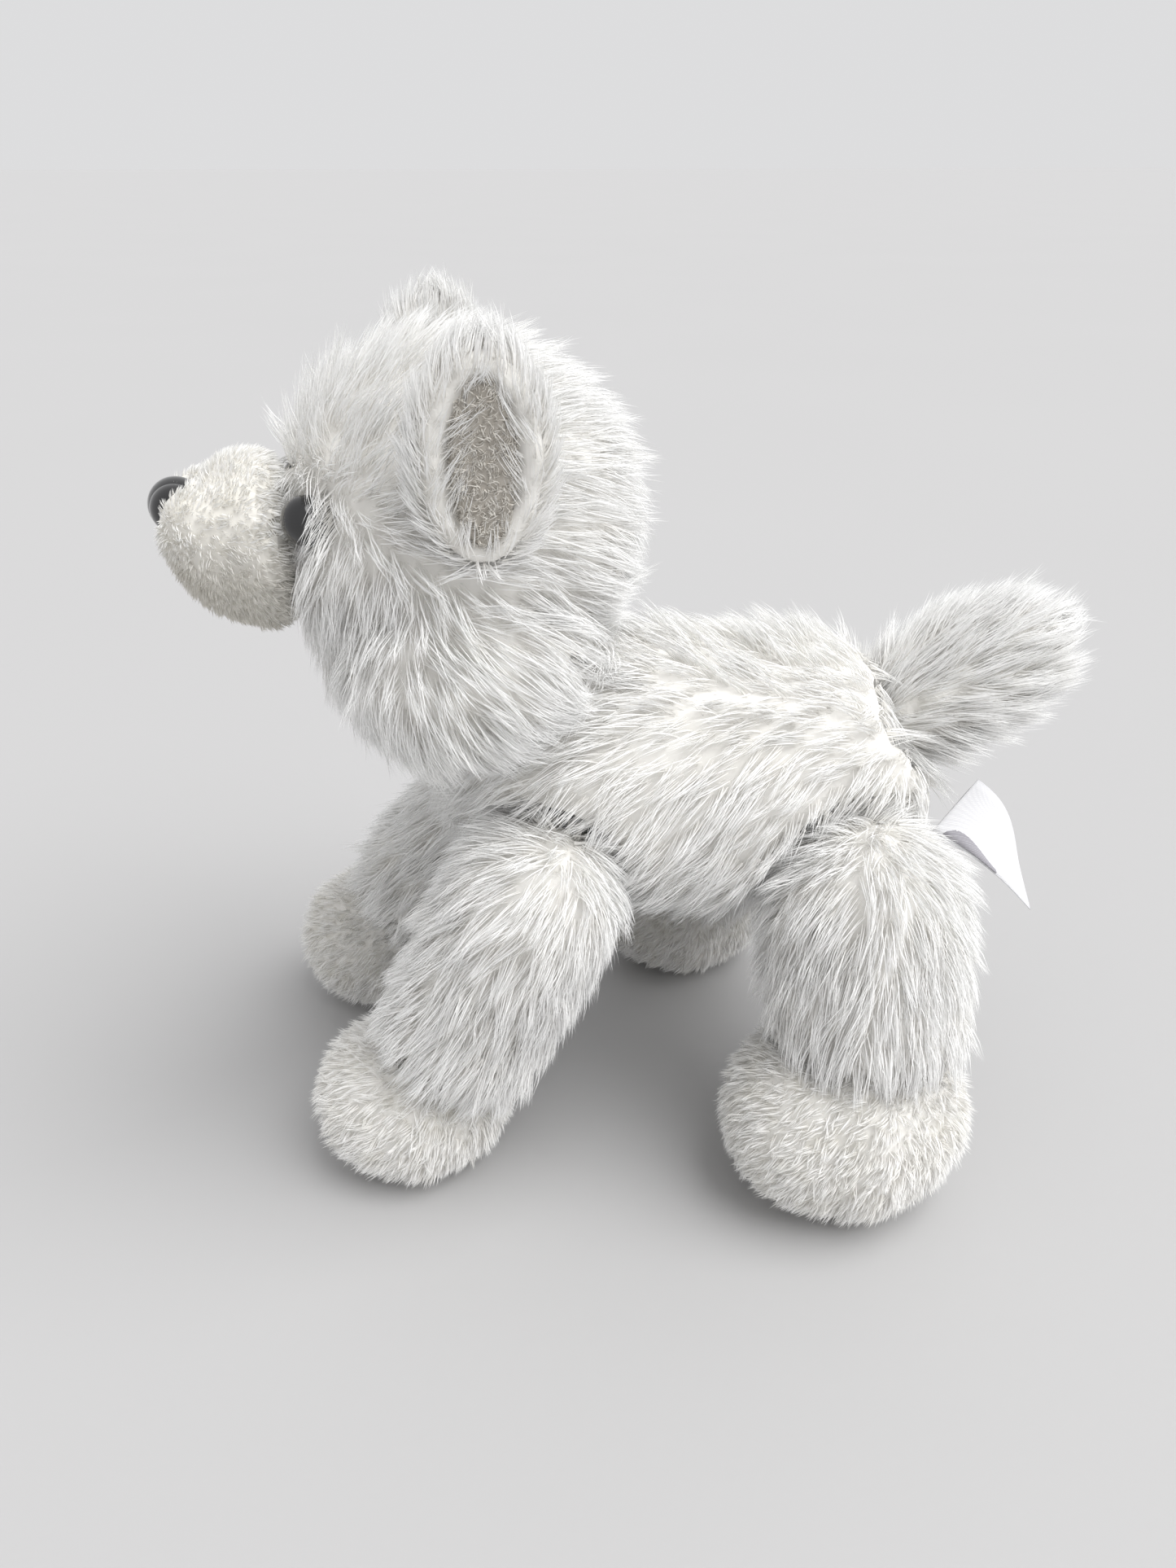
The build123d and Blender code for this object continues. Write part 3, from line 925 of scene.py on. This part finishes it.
class Hide:
    """The closed under-cloth of one stuffed part, drawn round its frame solids."""

    def __init__(
        self,
        name: str,
        nodes: tuple[str, ...],
        voxel: float,
        sink: float,
        squeeze: tuple[Vector, Vector] | None = None,
    ) -> None:
        """Draw the hide.

        Args:
            name: The piece's name.
            nodes: The frame nodes it is drawn round.
            voxel: The size of its mesh, in millimetres.
            sink: How far it lies inside those nodes, in millimetres.
            squeeze: A point, and the shares to which the hide is drawn in towards it.
        """
        self.name = name
        gathered = frame_bmesh(nodes)
        mesh = bpy.data.meshes.new(name)
        gathered.to_mesh(mesh)
        gathered.free()
        self.obj = bpy.data.objects.new(name, mesh)
        bpy.context.scene.collection.objects.link(self.obj)
        self._close(voxel)
        self._smooth(6, 0.5)
        if squeeze:
            centre, shares = (np.array(v) for v in squeeze)
            self._place(centre + (self.points - centre) * shares)
        self._place(self.points - self.normals * sink * MM)
        self._smooth(3, 0.5)

    def _close(self, voxel: float) -> None:
        """Remesh into one closed skin and keep its largest shell."""
        modifier = self.obj.modifiers.new("Closed", "REMESH")
        modifier.mode = "VOXEL"
        modifier.voxel_size = voxel * MM
        graph = bpy.context.evaluated_depsgraph_get()
        closed = bpy.data.meshes.new_from_object(self.obj.evaluated_get(graph))
        self.obj.modifiers.remove(modifier)
        work = bmesh.new()
        work.from_mesh(closed)
        bmesh.ops.delete(work, geom=self._minor_shells(work), context="VERTS")
        work.to_mesh(closed)
        work.free()
        self.obj.data = closed

    @staticmethod
    def _minor_shells(work: bmesh.types.BMesh) -> list[bmesh.types.BMVert]:
        """Find the vertices of every shell but the largest.

        Args:
            work: The remeshed skin.

        Returns:
            Its other shells' vertices.
        """
        shells, left = [], set(work.verts)
        while left:
            shell, edge = set(), [next(iter(left))]
            while edge:
                vertex = edge.pop()
                if vertex in shell:
                    continue
                shell.add(vertex)
                edge += [e.other_vert(vertex) for e in vertex.link_edges]
            shells.append(shell)
            left -= shell
        largest = max(shells, key=len)
        return [v for shell in shells if shell is not largest for v in shell]

    def _smooth(self, rounds: int, factor: float) -> None:
        """Relax the skin.

        Args:
            rounds: How many times.
            factor: How far each point moves to the middle of its neighbours.
        """
        work = bmesh.new()
        work.from_mesh(self.obj.data)
        for _ in range(rounds):
            bmesh.ops.smooth_vert(
                work,
                verts=work.verts,
                factor=factor,
                use_axis_x=True,
                use_axis_y=True,
                use_axis_z=True,
            )
        work.to_mesh(self.obj.data)
        work.free()

    def _place(self, points: np.ndarray) -> None:
        """Move the skin's points."""
        self.obj.data.vertices.foreach_set("co", points.ravel())
        self.obj.data.update()

    def fill_out(self, centre: Vector, reach: float, rise: float) -> None:
        """Plump the skin near a point.

        Args:
            centre: The point.
            reach: How far the plumping spreads, in millimetres.
            rise: How far the skin moves outwards at most, in millimetres.
        """
        distance = np.linalg.norm(self.points - np.array(centre), axis=1)
        share = np.exp(-((distance / (reach * MM)) ** 2))
        self._place(self.points + self.normals * (share * rise * MM)[:, None])

    @property
    def points(self) -> np.ndarray:
        """The skin's points."""
        return read_vectors(self.obj.data.vertices, "co")

    @property
    def normals(self) -> np.ndarray:
        """The skin's outward normals."""
        return read_vectors(self.obj.data.vertex_normals, "vector")

    def write(self, name: str, values: np.ndarray) -> None:
        """Store a number or a vector for each point.

        Args:
            name: The attribute's name.
            values: One row for each point.
        """
        is_vector = values.ndim == 2
        kind = "FLOAT_VECTOR" if is_vector else "FLOAT"
        made = self.obj.data.attributes.new(name, kind, "POINT")
        made.data.foreach_set("vector" if is_vector else "value", values.ravel())


# ---------------------------------------------------------------------------------------------
# Furred pieces
# ---------------------------------------------------------------------------------------------


@dataclass
class FurredPiece:
    """A stuffed part with its pile."""

    name: str
    body: str
    round_nodes: tuple[str, ...]
    stands_for: tuple[str, ...]
    combing: Combing
    growth: Growth
    finish: PileFinish
    slot: str
    voxel: float = 2.2
    sink: float = 0.0
    fill: float = 0.8
    crowded_by: tuple[str, ...] = ()
    bare_within: float = 3.5
    full_beyond: float = 6.0
    short_near: tuple[tuple[Vector, float, float], ...] = ()
    fuller_near: tuple[tuple[Vector, float, float], ...] = ()
    squeeze: tuple[Vector, Vector] | None = None
    outward_from: Vector | None = None

    def build(self, pile: PileTree) -> bpy.types.Object:
        """Draw the hide, grow its pile and hand the piece to its body.

        Args:
            pile: The node tree that grows it.

        Returns:
            The finished piece.
        """
        hide = Hide(self.name, self.round_nodes, self.voxel, self.sink, self.squeeze)
        for centre, reach, rise in self.fuller_near:
            hide.fill_out(centre, reach, rise)
        points, normals = hide.points, hide.normals
        gap = nearest_distances(points, self.crowded_by)
        room = ramp(gap, self.bare_within * MM, self.full_beyond * MM)
        length = 0.45 + 0.55 * room
        for centre, reach, share in self.short_near:
            distance = np.linalg.norm(points - np.array(centre), axis=1)
            near = ramp(distance, reach * 0.55 * MM, reach * 1.3 * MM)
            length *= share + (1 - share) * near
        hide.write("comb", self.combing.directions(points, normals))
        if self.outward_from is not None:
            away = unit(points - np.array(self.outward_from))
            room = room * ramp((away * normals).sum(1), 0.1, 0.5)
        hide.write("density", room)
        hide.write("length", length)
        grown = pile.grow(hide.obj, self.growth, self.finish)
        self._stand_on_floor(grown)
        hide.obj.data = grown
        for name in ("comb", "density", "length"):
            spent = grown.attributes.get(name)
            if spent:
                grown.attributes.remove(spent)
        return self._dress(hide.obj)

    @staticmethod
    def _stand_on_floor(mesh: bpy.types.Mesh) -> None:
        """Press pile that would pass below the floor flat on it."""
        points = read_vectors(mesh.vertices, "co")
        points[:, 2] = np.maximum(points[:, 2], 0.1 * MM)
        mesh.vertices.foreach_set("co", points.ravel())
        mesh.update()

    def _dress(self, piece: bpy.types.Object) -> bpy.types.Object:
        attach(piece, self.body)
        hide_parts(*self.stands_for)
        count = sum(len(p.vertices) - 2 for p in piece.data.polygons)
        LOG.info("%s: %d triangles on %s", piece.name, count, self.body)
        return piece


def joint_place(name: str) -> Vector:
    """Where a joint of the frame turns."""
    found = next(j for j in frame["joints"] if j["name"] == name)
    return Vector(found["pos_m"])


def box_point(node: str, x: float, y: float, z: float) -> Vector:
    """A point in a frame node's box, by its shares along X, Y and Z."""
    low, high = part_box(node)
    shares = (x, y, z)
    return Vector(low[i] + (high[i] - low[i]) * shares[i] for i in range(3))


@dataclass
class Torso:
    """The body from the chest to the rump, sewn of two sides and a belly."""

    pile: PileTree
    growth: Growth = Growth(LONG_LOCK, 2.72, lift=0.85, comb=0.9, seed=3)

    def build(self) -> list[bpy.types.Object]:
        """Build the furred torso and return its pieces."""
        whorls = []
        for side in Side:
            shoulder = joint_place(f"front_{side.word}_swing")
            outer = 40 * side.value * MM
            whorls.append(Whorl(shoulder + Vector((outer, 6 * MM, 34 * MM)), 26, 1.6))
        piece = FurredPiece(
            name="torso_fur",
            body="torso",
            round_nodes=("torso_stuffing", "torso_bean_pouch"),
            stands_for=(
                "left_side_cover",
                "right_side_cover",
                "belly_cover",
                "torso_stuffing",
                "torso_bean_pouch",
            ),
            combing=Combing(Vector((0, -0.55, 0)), tuple(whorls), drop=0.55),
            growth=self.growth,
            finish=LONG_WHITE,
            slot="long_pile",
            sink=-2.6,
            crowded_by=tuple(f"{leg}_leg_cover" for leg in LEG_NAMES),
        )
        return [piece.build(self.pile)]


@dataclass
class Neck:
    """The gathered seam between torso and head, hidden in pile."""

    pile: PileTree
    growth: Growth = Growth(LONG_LOCK, 2.2, lift=0.8, comb=0.7, shortest=0.7, longest=0.95, seed=9)

    def build(self) -> list[bpy.types.Object]:
        """Build the furred neck and return its pieces."""
        piece = FurredPiece(
            name="neck_fur",
            body="neck",
            round_nodes=("neck_seam",),
            stands_for=("neck_seam",),
            combing=Combing(Vector((0, 0.1, -0.6))),
            growth=self.growth,
            finish=LONG_WHITE,
            slot="long_pile",
            voxel=2.0,
            sink=1.0,
            fill=0.6,
        )
        return [piece.build(self.pile)]


@dataclass
class Head:
    """The skull with its cheek ruff, the short-piled muzzle, the eyes and the nose."""

    pile: PileTree
    growth: Growth = Growth(LONG_LOCK, 2.4, lift=0.9, comb=0.8, seed=14)
    muzzle_growth: Growth = Growth(
        MUZZLE_LOCK, 0.95, lift=1.0, comb=0.45, stray=0.25, wave=0.3, clump=3.0, pull=0.2, seed=21
    )

    def build(self) -> list[bpy.types.Object]:
        """Build the head's pieces and return them."""
        return [self._skull(), self._muzzle()]

    def _skull(self) -> bpy.types.Object:
        """The skull and cheeks, with a whorl on each cheek."""
        cheeks = tuple(
            Whorl(box_point("head_stuffing", 0.5 + 0.5 * side.value, 0.42, 0.5), 34, 0.55)
            for side in Side
        )
        eyes = tuple(
            (box_point(f"{side.word}_eye", 0.5, 0.2, 0.5), 6.0, 0.6) for side in Side
        )
        bridge = (box_point("muzzle_cover", 0.5, 0.8, 0.5), 16.0, 0.6)
        piece = FurredPiece(
            name="head_fur",
            body="head",
            round_nodes=("head_stuffing",),
            stands_for=(
                "head_left_cover",
                "head_right_cover",
                "head_gusset",
                "head_stuffing",
            ),
            combing=Combing(Vector((0, 0.6, 0.05)), cheeks, drop=0.5),
            growth=self.growth,
            finish=LONG_WHITE,
            slot="long_pile",
            sink=-4.4,
            fill=0.9,
            short_near=(*eyes, bridge),
        )
        return piece.build(self.pile)

    def _muzzle(self) -> bpy.types.Object:
        """The muzzle, white above, and cream with painted shade below."""
        piece = FurredPiece(
            name="muzzle_fur",
            body="head",
            round_nodes=("muzzle_stuffing",),
            stands_for=("muzzle_cover", "muzzle_stuffing"),
            combing=Combing(Vector((0, 0.8, -0.1))),
            growth=self.muzzle_growth,
            finish=MUZZLE_PLUSH,
            slot="muzzle_pile",
            voxel=1.4,
            sink=-4.4,
            fill=0.95,
            crowded_by=("nose",),
            bare_within=0.3,
            full_beyond=1.0,
            fuller_near=tuple((box_point("nose", x, 0.4, 0.5), 8.0, 4.2) for x in (0.0, 1.0)),
        )
        return piece.build(self.pile)


@dataclass
class Ear:
    """An upright ear: a long-piled back that wraps round a looped lining."""

    pile: PileTree
    side: Side
    back_growth: Growth = Growth(EAR_LOCK, 1.35, lift=0.9, comb=1.1, clump=5.0, pull=0.3, seed=31)
    lining_growth: Growth = Growth(
        LOOP_LOCK, 0.62, lift=1.0, comb=0.2, stray=0.5, wave=0.5, clump=1.4, pull=0.3, seed=33
    )

    def build(self) -> list[bpy.types.Object]:
        """Build the ear's pieces and return them."""
        word = self.side.word
        middle = box_point(f"{word}_ear_lining", 0.5, 0.5, 0.5)
        back = FurredPiece(
            name=f"{word}_ear_fur",
            body=f"{word}_ear",
            round_nodes=(f"{word}_ear_back",),
            stands_for=(f"{word}_ear_back",),
            combing=Combing(Vector((0, 0, 1)), (Whorl(middle, 13, -0.9),)),
            growth=self.back_growth,
            finish=LONG_WHITE,
            slot="long_pile",
            voxel=1.1,
            sink=-0.4,
            fill=0.3,
            crowded_by=(f"{word}_ear_lining",),
            bare_within=0.1,
            full_beyond=1.0,
        )
        lining = FurredPiece(
            name=f"{word}_ear_plush",
            body=f"{word}_ear",
            round_nodes=(f"{word}_ear_lining",),
            stands_for=(f"{word}_ear_lining",),
            combing=Combing(Vector((0, 0, 1))),
            growth=self.lining_growth,
            finish=EAR_PLUSH,
            slot="ear_lining",
            voxel=0.6,
            sink=-0.4,
            fill=0.2,
            squeeze=(middle, Vector((1.0, 0.72, 0.95))),
        )
        return [back.build(self.pile), lining.build(self.pile)]


@dataclass
class Tail:
    """The bushy tail and the seam at its root."""

    pile: PileTree
    growth: Growth = Growth(TAIL_LOCK, 1.9, lift=0.8, comb=1.0, stray=0.22, seed=41)

    def build(self) -> list[bpy.types.Object]:
        """Build the tail's pieces and return them."""
        root = joint_place("tail_lift")
        tip = box_point("tail_cover", 0.5, 1.0, 0.85)
        along = (tip - root).normalized()
        tail = FurredPiece(
            name="tail_fur",
            body="tail",
            round_nodes=("tail_stuffing",),
            stands_for=("tail_cover", "tail_stuffing"),
            combing=Combing(along, drop=0.1),
            growth=self.growth,
            finish=LONG_WHITE,
            slot="long_pile",
            voxel=1.8,
            sink=-8.4,
            fill=0.7,
        )
        seam = seat_piece("tail_seam", "tail_fur_root", "tail_base", root, along, self.growth)
        return [tail.build(self.pile), seam.build(self.pile)]


@dataclass
class Leg:
    """A leg in long pile, its short-piled paw, and the seam in its hip."""

    pile: PileTree
    name: str
    growth: Growth = Growth(LONG_LOCK, 2.2, lift=0.8, comb=0.95, seed=51)
    paw_growth: Growth = Growth(
        SHORT_LOCK, 1.25, lift=0.9, comb=0.5, stray=0.3, wave=0.5, clump=4.0, pull=0.3, seed=57
    )

    def build(self) -> list[bpy.types.Object]:
        """Build the leg's pieces and return them."""
        hip = joint_place(f"{self.name}_swing")
        paw = box_point(f"{self.name}_paw_cover", 0.5, 0.5, 0.5)
        body = f"{self.name}_leg"
        seed = 50 + 10 * LEG_NAMES.index(self.name)
        leg = FurredPiece(
            name=f"{self.name}_leg_fur",
            body=body,
            round_nodes=(f"{self.name}_leg_stuffing",),
            stands_for=(f"{self.name}_leg_cover", f"{self.name}_leg_stuffing"),
            combing=Combing((paw - hip).normalized()),
            growth=replace(self.growth, seed=seed),
            finish=LONG_WHITE,
            slot="long_pile",
            voxel=2.0,
            sink=-6.2,
        )
        foot = FurredPiece(
            name=f"{self.name}_paw_fur",
            body=body,
            round_nodes=(f"{self.name}_paw_beans",),
            stands_for=(f"{self.name}_paw_cover", f"{self.name}_paw_beans"),
            combing=Combing(Vector((0, -0.5, -0.4))),
            growth=replace(self.paw_growth, seed=seed + 5),
            finish=SHORT_WHITE,
            slot="short_pile",
            voxel=1.8,
            sink=-4.8,
            fill=0.9,
        )
        seam = seat_piece(
            f"{self.name}_leg_seam",
            f"{self.name}_hip_fur",
            f"{self.name}_joint",
            hip,
            (paw - hip).normalized(),
            leg.growth,
        )
        return [leg.build(self.pile), foot.build(self.pile), seam.build(self.pile)]


def seat_piece(
    node: str, name: str, body: str, pivot: Vector, along: Vector, growth: Growth
) -> FurredPiece:
    """Describe the pile over a sewn joint, whose cloth is drawn in under it.

    Args:
        node: The frame's seam node.
        name: The piece's name.
        body: The body it rides on.
        pivot: Where the joint turns.
        along: Which way the pile is combed.
        growth: How its locks stand.

    Returns:
        The piece, ready to build.
    """
    return FurredPiece(
        name=name,
        body=body,
        round_nodes=(node,),
        stands_for=(node,),
        combing=Combing(along),
        growth=growth,
        finish=LONG_WHITE,
        slot="seam_cloth",
        voxel=0.9,
        fill=0.4,
        squeeze=(pivot, Vector((0.66, 0.66, 0.66))),
        outward_from=pivot,
    )


@dataclass
class Label:
    """The two blank tapes sewn in under the tail, which curl as they hang."""

    curl: float = 5.0
    root_turn: float = 78.0
    end_turn: float = 22.0
    steps: int = 24
    across: int = 8

    def build(self) -> list[bpy.types.Object]:
        """Build the two tapes and return them."""
        wide = self._tape("sewn_label", "sewn_label_tape", LABEL_TAPE, self.curl)
        care = self._tape("care_label", "care_label_tape", CARE_TAPE, self.curl / 2)
        return [wide, care]

    def _tape(
        self, node: str, name: str, finish: WovenFinish, curl: float
    ) -> bpy.types.Object:
        """Hang one tape where the frame's label hangs.

        Args:
            node: The frame's label node.
            name: The piece's name.
            finish: The tape's finish.
            curl: How far its middle stands off a straight line, in millimetres.

        Returns:
            The finished piece.
        """
        low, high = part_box(node)
        width = high.x - low.x
        start, end = Vector((0, low.y, high.z)), Vector((0, high.y, low.z))
        run = end - start
        off = Vector((0, -run.z, run.y)).normalized() * -1
        if off.z < 0:
            off = -off
        work = bmesh.new()
        rows = []
        for step in range(self.steps + 1):
            share = step / self.steps
            rise = curl * MM * math.sin(math.pi * share) * 0.5
            middle = start + run * share + off * rise + Vector((low.x + width / 2, 0, 0))
            turn = math.radians(self.root_turn + (self.end_turn - self.root_turn) * share)
            sideways = Vector((math.cos(turn), 0, 0)) - off * math.sin(turn)
            rows.append(
                [
                    work.verts.new(middle + sideways * width * (i / self.across - 0.5))
                    for i in range(self.across + 1)
                ]
            )
        for below, above in zip(rows[:-1], rows[1:]):
            for i in range(self.across):
                work.faces.new((below[i], below[i + 1], above[i + 1], above[i]))
        bmesh.ops.recalc_face_normals(work, faces=work.faces)
        mesh = bpy.data.meshes.new(name)
        work.to_mesh(mesh)
        work.free()
        tape = bpy.data.objects.new(name, mesh)
        bpy.context.scene.collection.objects.link(tape)
        wall = tape.modifiers.new("Thickness", "SOLIDIFY")
        wall.thickness = 0.25 * MM
        mesh.materials.append(DYES.of(finish))
        mesh.shade_smooth()
        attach(tape, "label")
        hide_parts(node)
        return tape


# ---------------------------------------------------------------------------------------------
# Hard parts and the studio
# ---------------------------------------------------------------------------------------------


@dataclass
class HardParts:
    """The frame's own moulded parts, which stay as they are and get their finish."""

    black: tuple[str, ...] = ("left_eye", "right_eye", "nose")
    milky: tuple[str, ...] = ("left_eye_washer", "right_eye_washer", "nose_washer")

    def dress(self) -> None:
        """Give each moulded part its material."""
        for nodes, finish in ((self.black, BLACK_PLASTIC), (self.milky, MILKY_PLASTIC)):
            for node in nodes:
                part = frame["nodes"][node]
                part.data.materials.clear()
                part.data.materials.append(DYES.of(finish))
                LOG.info("%s: %s", node, finish.name)


@dataclass
class Studio:
    """A pale floor, soft light and the camera."""

    floor_size: float = 60.0
    floor_colour: Colour = (0.475, 0.472, 0.472)
    sky_colour: Colour = (0.93, 0.93, 0.94)
    sky_strength: float = 0.78
    camera_place: Vector = field(default_factory=lambda: Vector((0.2547, -0.0683, 0.232)))
    camera_turn: float = 12.0
    camera_pitch: float = 28.0
    lens: float = 27.05

    def build(self) -> None:
        """Build the floor, the lights and the camera."""
        self._floor()
        self._sky()
        self._lamp("high_key", Vector((0.38, 0.5, 1.0)), 50.0, 2.75)
        self._camera()

    def _floor(self) -> None:
        """One large pale sheet under the dog."""
        half = self.floor_size / 2
        mesh = bpy.data.meshes.new("floor")
        corners = [(-half, -half, 0), (half, -half, 0), (half, half, 0), (-half, half, 0)]
        mesh.from_pydata(corners, [], [(0, 1, 2, 3)])
        floor = bpy.data.objects.new("floor", mesh)
        bpy.context.scene.collection.objects.link(floor)
        wiring, shader, material = new_material("pale_floor")
        place = wiring.node("ShaderNodeTexCoord", {}).outputs["Object"]
        cloud = wiring.node("ShaderNodeTexNoise", {"Vector": place, "Scale": 3.0, "Detail": 1.0})
        shades = wiring.node("ShaderNodeValToRGB", {0: cloud.outputs[0]})
        shades.color_ramp.elements[0].color = (*self.floor_colour, 1)
        shades.color_ramp.elements[1].color = (*(c * 1.02 for c in self.floor_colour), 1)
        wiring.join(shader.inputs["Base Color"], shades.outputs[0])
        shader.inputs["Roughness"].default_value = 0.6
        mesh.materials.append(material)
        floor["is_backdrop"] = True

    def _sky(self) -> None:
        """Even light from all round."""
        world = bpy.data.worlds.new("studio")
        world.use_nodes = True
        back = world.node_tree.nodes["Background"]
        back.inputs["Color"].default_value = (*self.sky_colour, 1)
        back.inputs["Strength"].default_value = self.sky_strength
        bpy.context.scene.world = world

    def _lamp(self, name: str, place: Vector, spread: float, strength: float) -> None:
        """Light the dog and the whole floor evenly from above and one side.

        Args:
            name: The lamp's name.
            place: A point on the side that the light comes from.
            spread: How wide the light is, in degrees.
            strength: Its strength in watts for each square metre.
        """
        data = bpy.data.lights.new(name, "SUN")
        data.angle = math.radians(spread)
        data.energy = strength
        lamp = bpy.data.objects.new(name, data)
        lamp.location = place
        lamp.rotation_euler = (-place).to_track_quat("-Z", "Y").to_euler()
        bpy.context.scene.collection.objects.link(lamp)

    def _camera(self) -> None:
        """Set up the camera at the dog's left side, close and looking down."""
        data = bpy.data.cameras.new("camera")
        data.lens = self.lens
        data.clip_start = 0.01
        camera = bpy.data.objects.new("camera", data)
        turn, pitch = math.radians(self.camera_turn), math.radians(self.camera_pitch)
        aim = Vector(
            (
                -math.cos(turn) * math.cos(pitch),
                math.sin(turn) * math.cos(pitch),
                -math.sin(pitch),
            )
        )
        camera.location = self.camera_place
        camera.rotation_euler = aim.to_track_quat("-Z", "Y").to_euler()
        bpy.context.scene.collection.objects.link(camera)
        bpy.context.scene.camera = camera
        bpy.context.scene.view_settings.view_transform = "Standard"


def corners() -> list[list[float]]:
    """The shown object's box, as two plain lists."""
    return [list(corner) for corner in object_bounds()]


def clear_locks() -> None:
    """Remove the single locks that the node tree picked from."""
    for lock in (LONG_LOCK, TAIL_LOCK, EAR_LOCK, SHORT_LOCK, MUZZLE_LOCK, LOOP_LOCK):
        found = bpy.data.collections.get(lock.name)
        if found:
            for lock_object in list(found.objects):
                bpy.data.objects.remove(lock_object)
            bpy.data.collections.remove(found)


def main() -> None:
    """Build every sub-assembly in order."""
    logging.basicConfig(level=logging.INFO, format="%(name)s: %(message)s")
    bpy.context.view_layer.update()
    pile = PileTree()
    parts = [Torso(pile), Neck(pile), Head(pile)]
    parts += [Ear(pile, side) for side in Side]
    parts += [Tail(pile)]
    parts += [Leg(pile, name) for name in LEG_NAMES]
    parts += [Label()]
    for part in parts:
        made = part.build()
        LOG.info("%s: %d pieces", type(part).__name__, len(made))
    clear_locks()
    HardParts().dress()
    Studio().build()


if __name__ == "__main__":
    main()
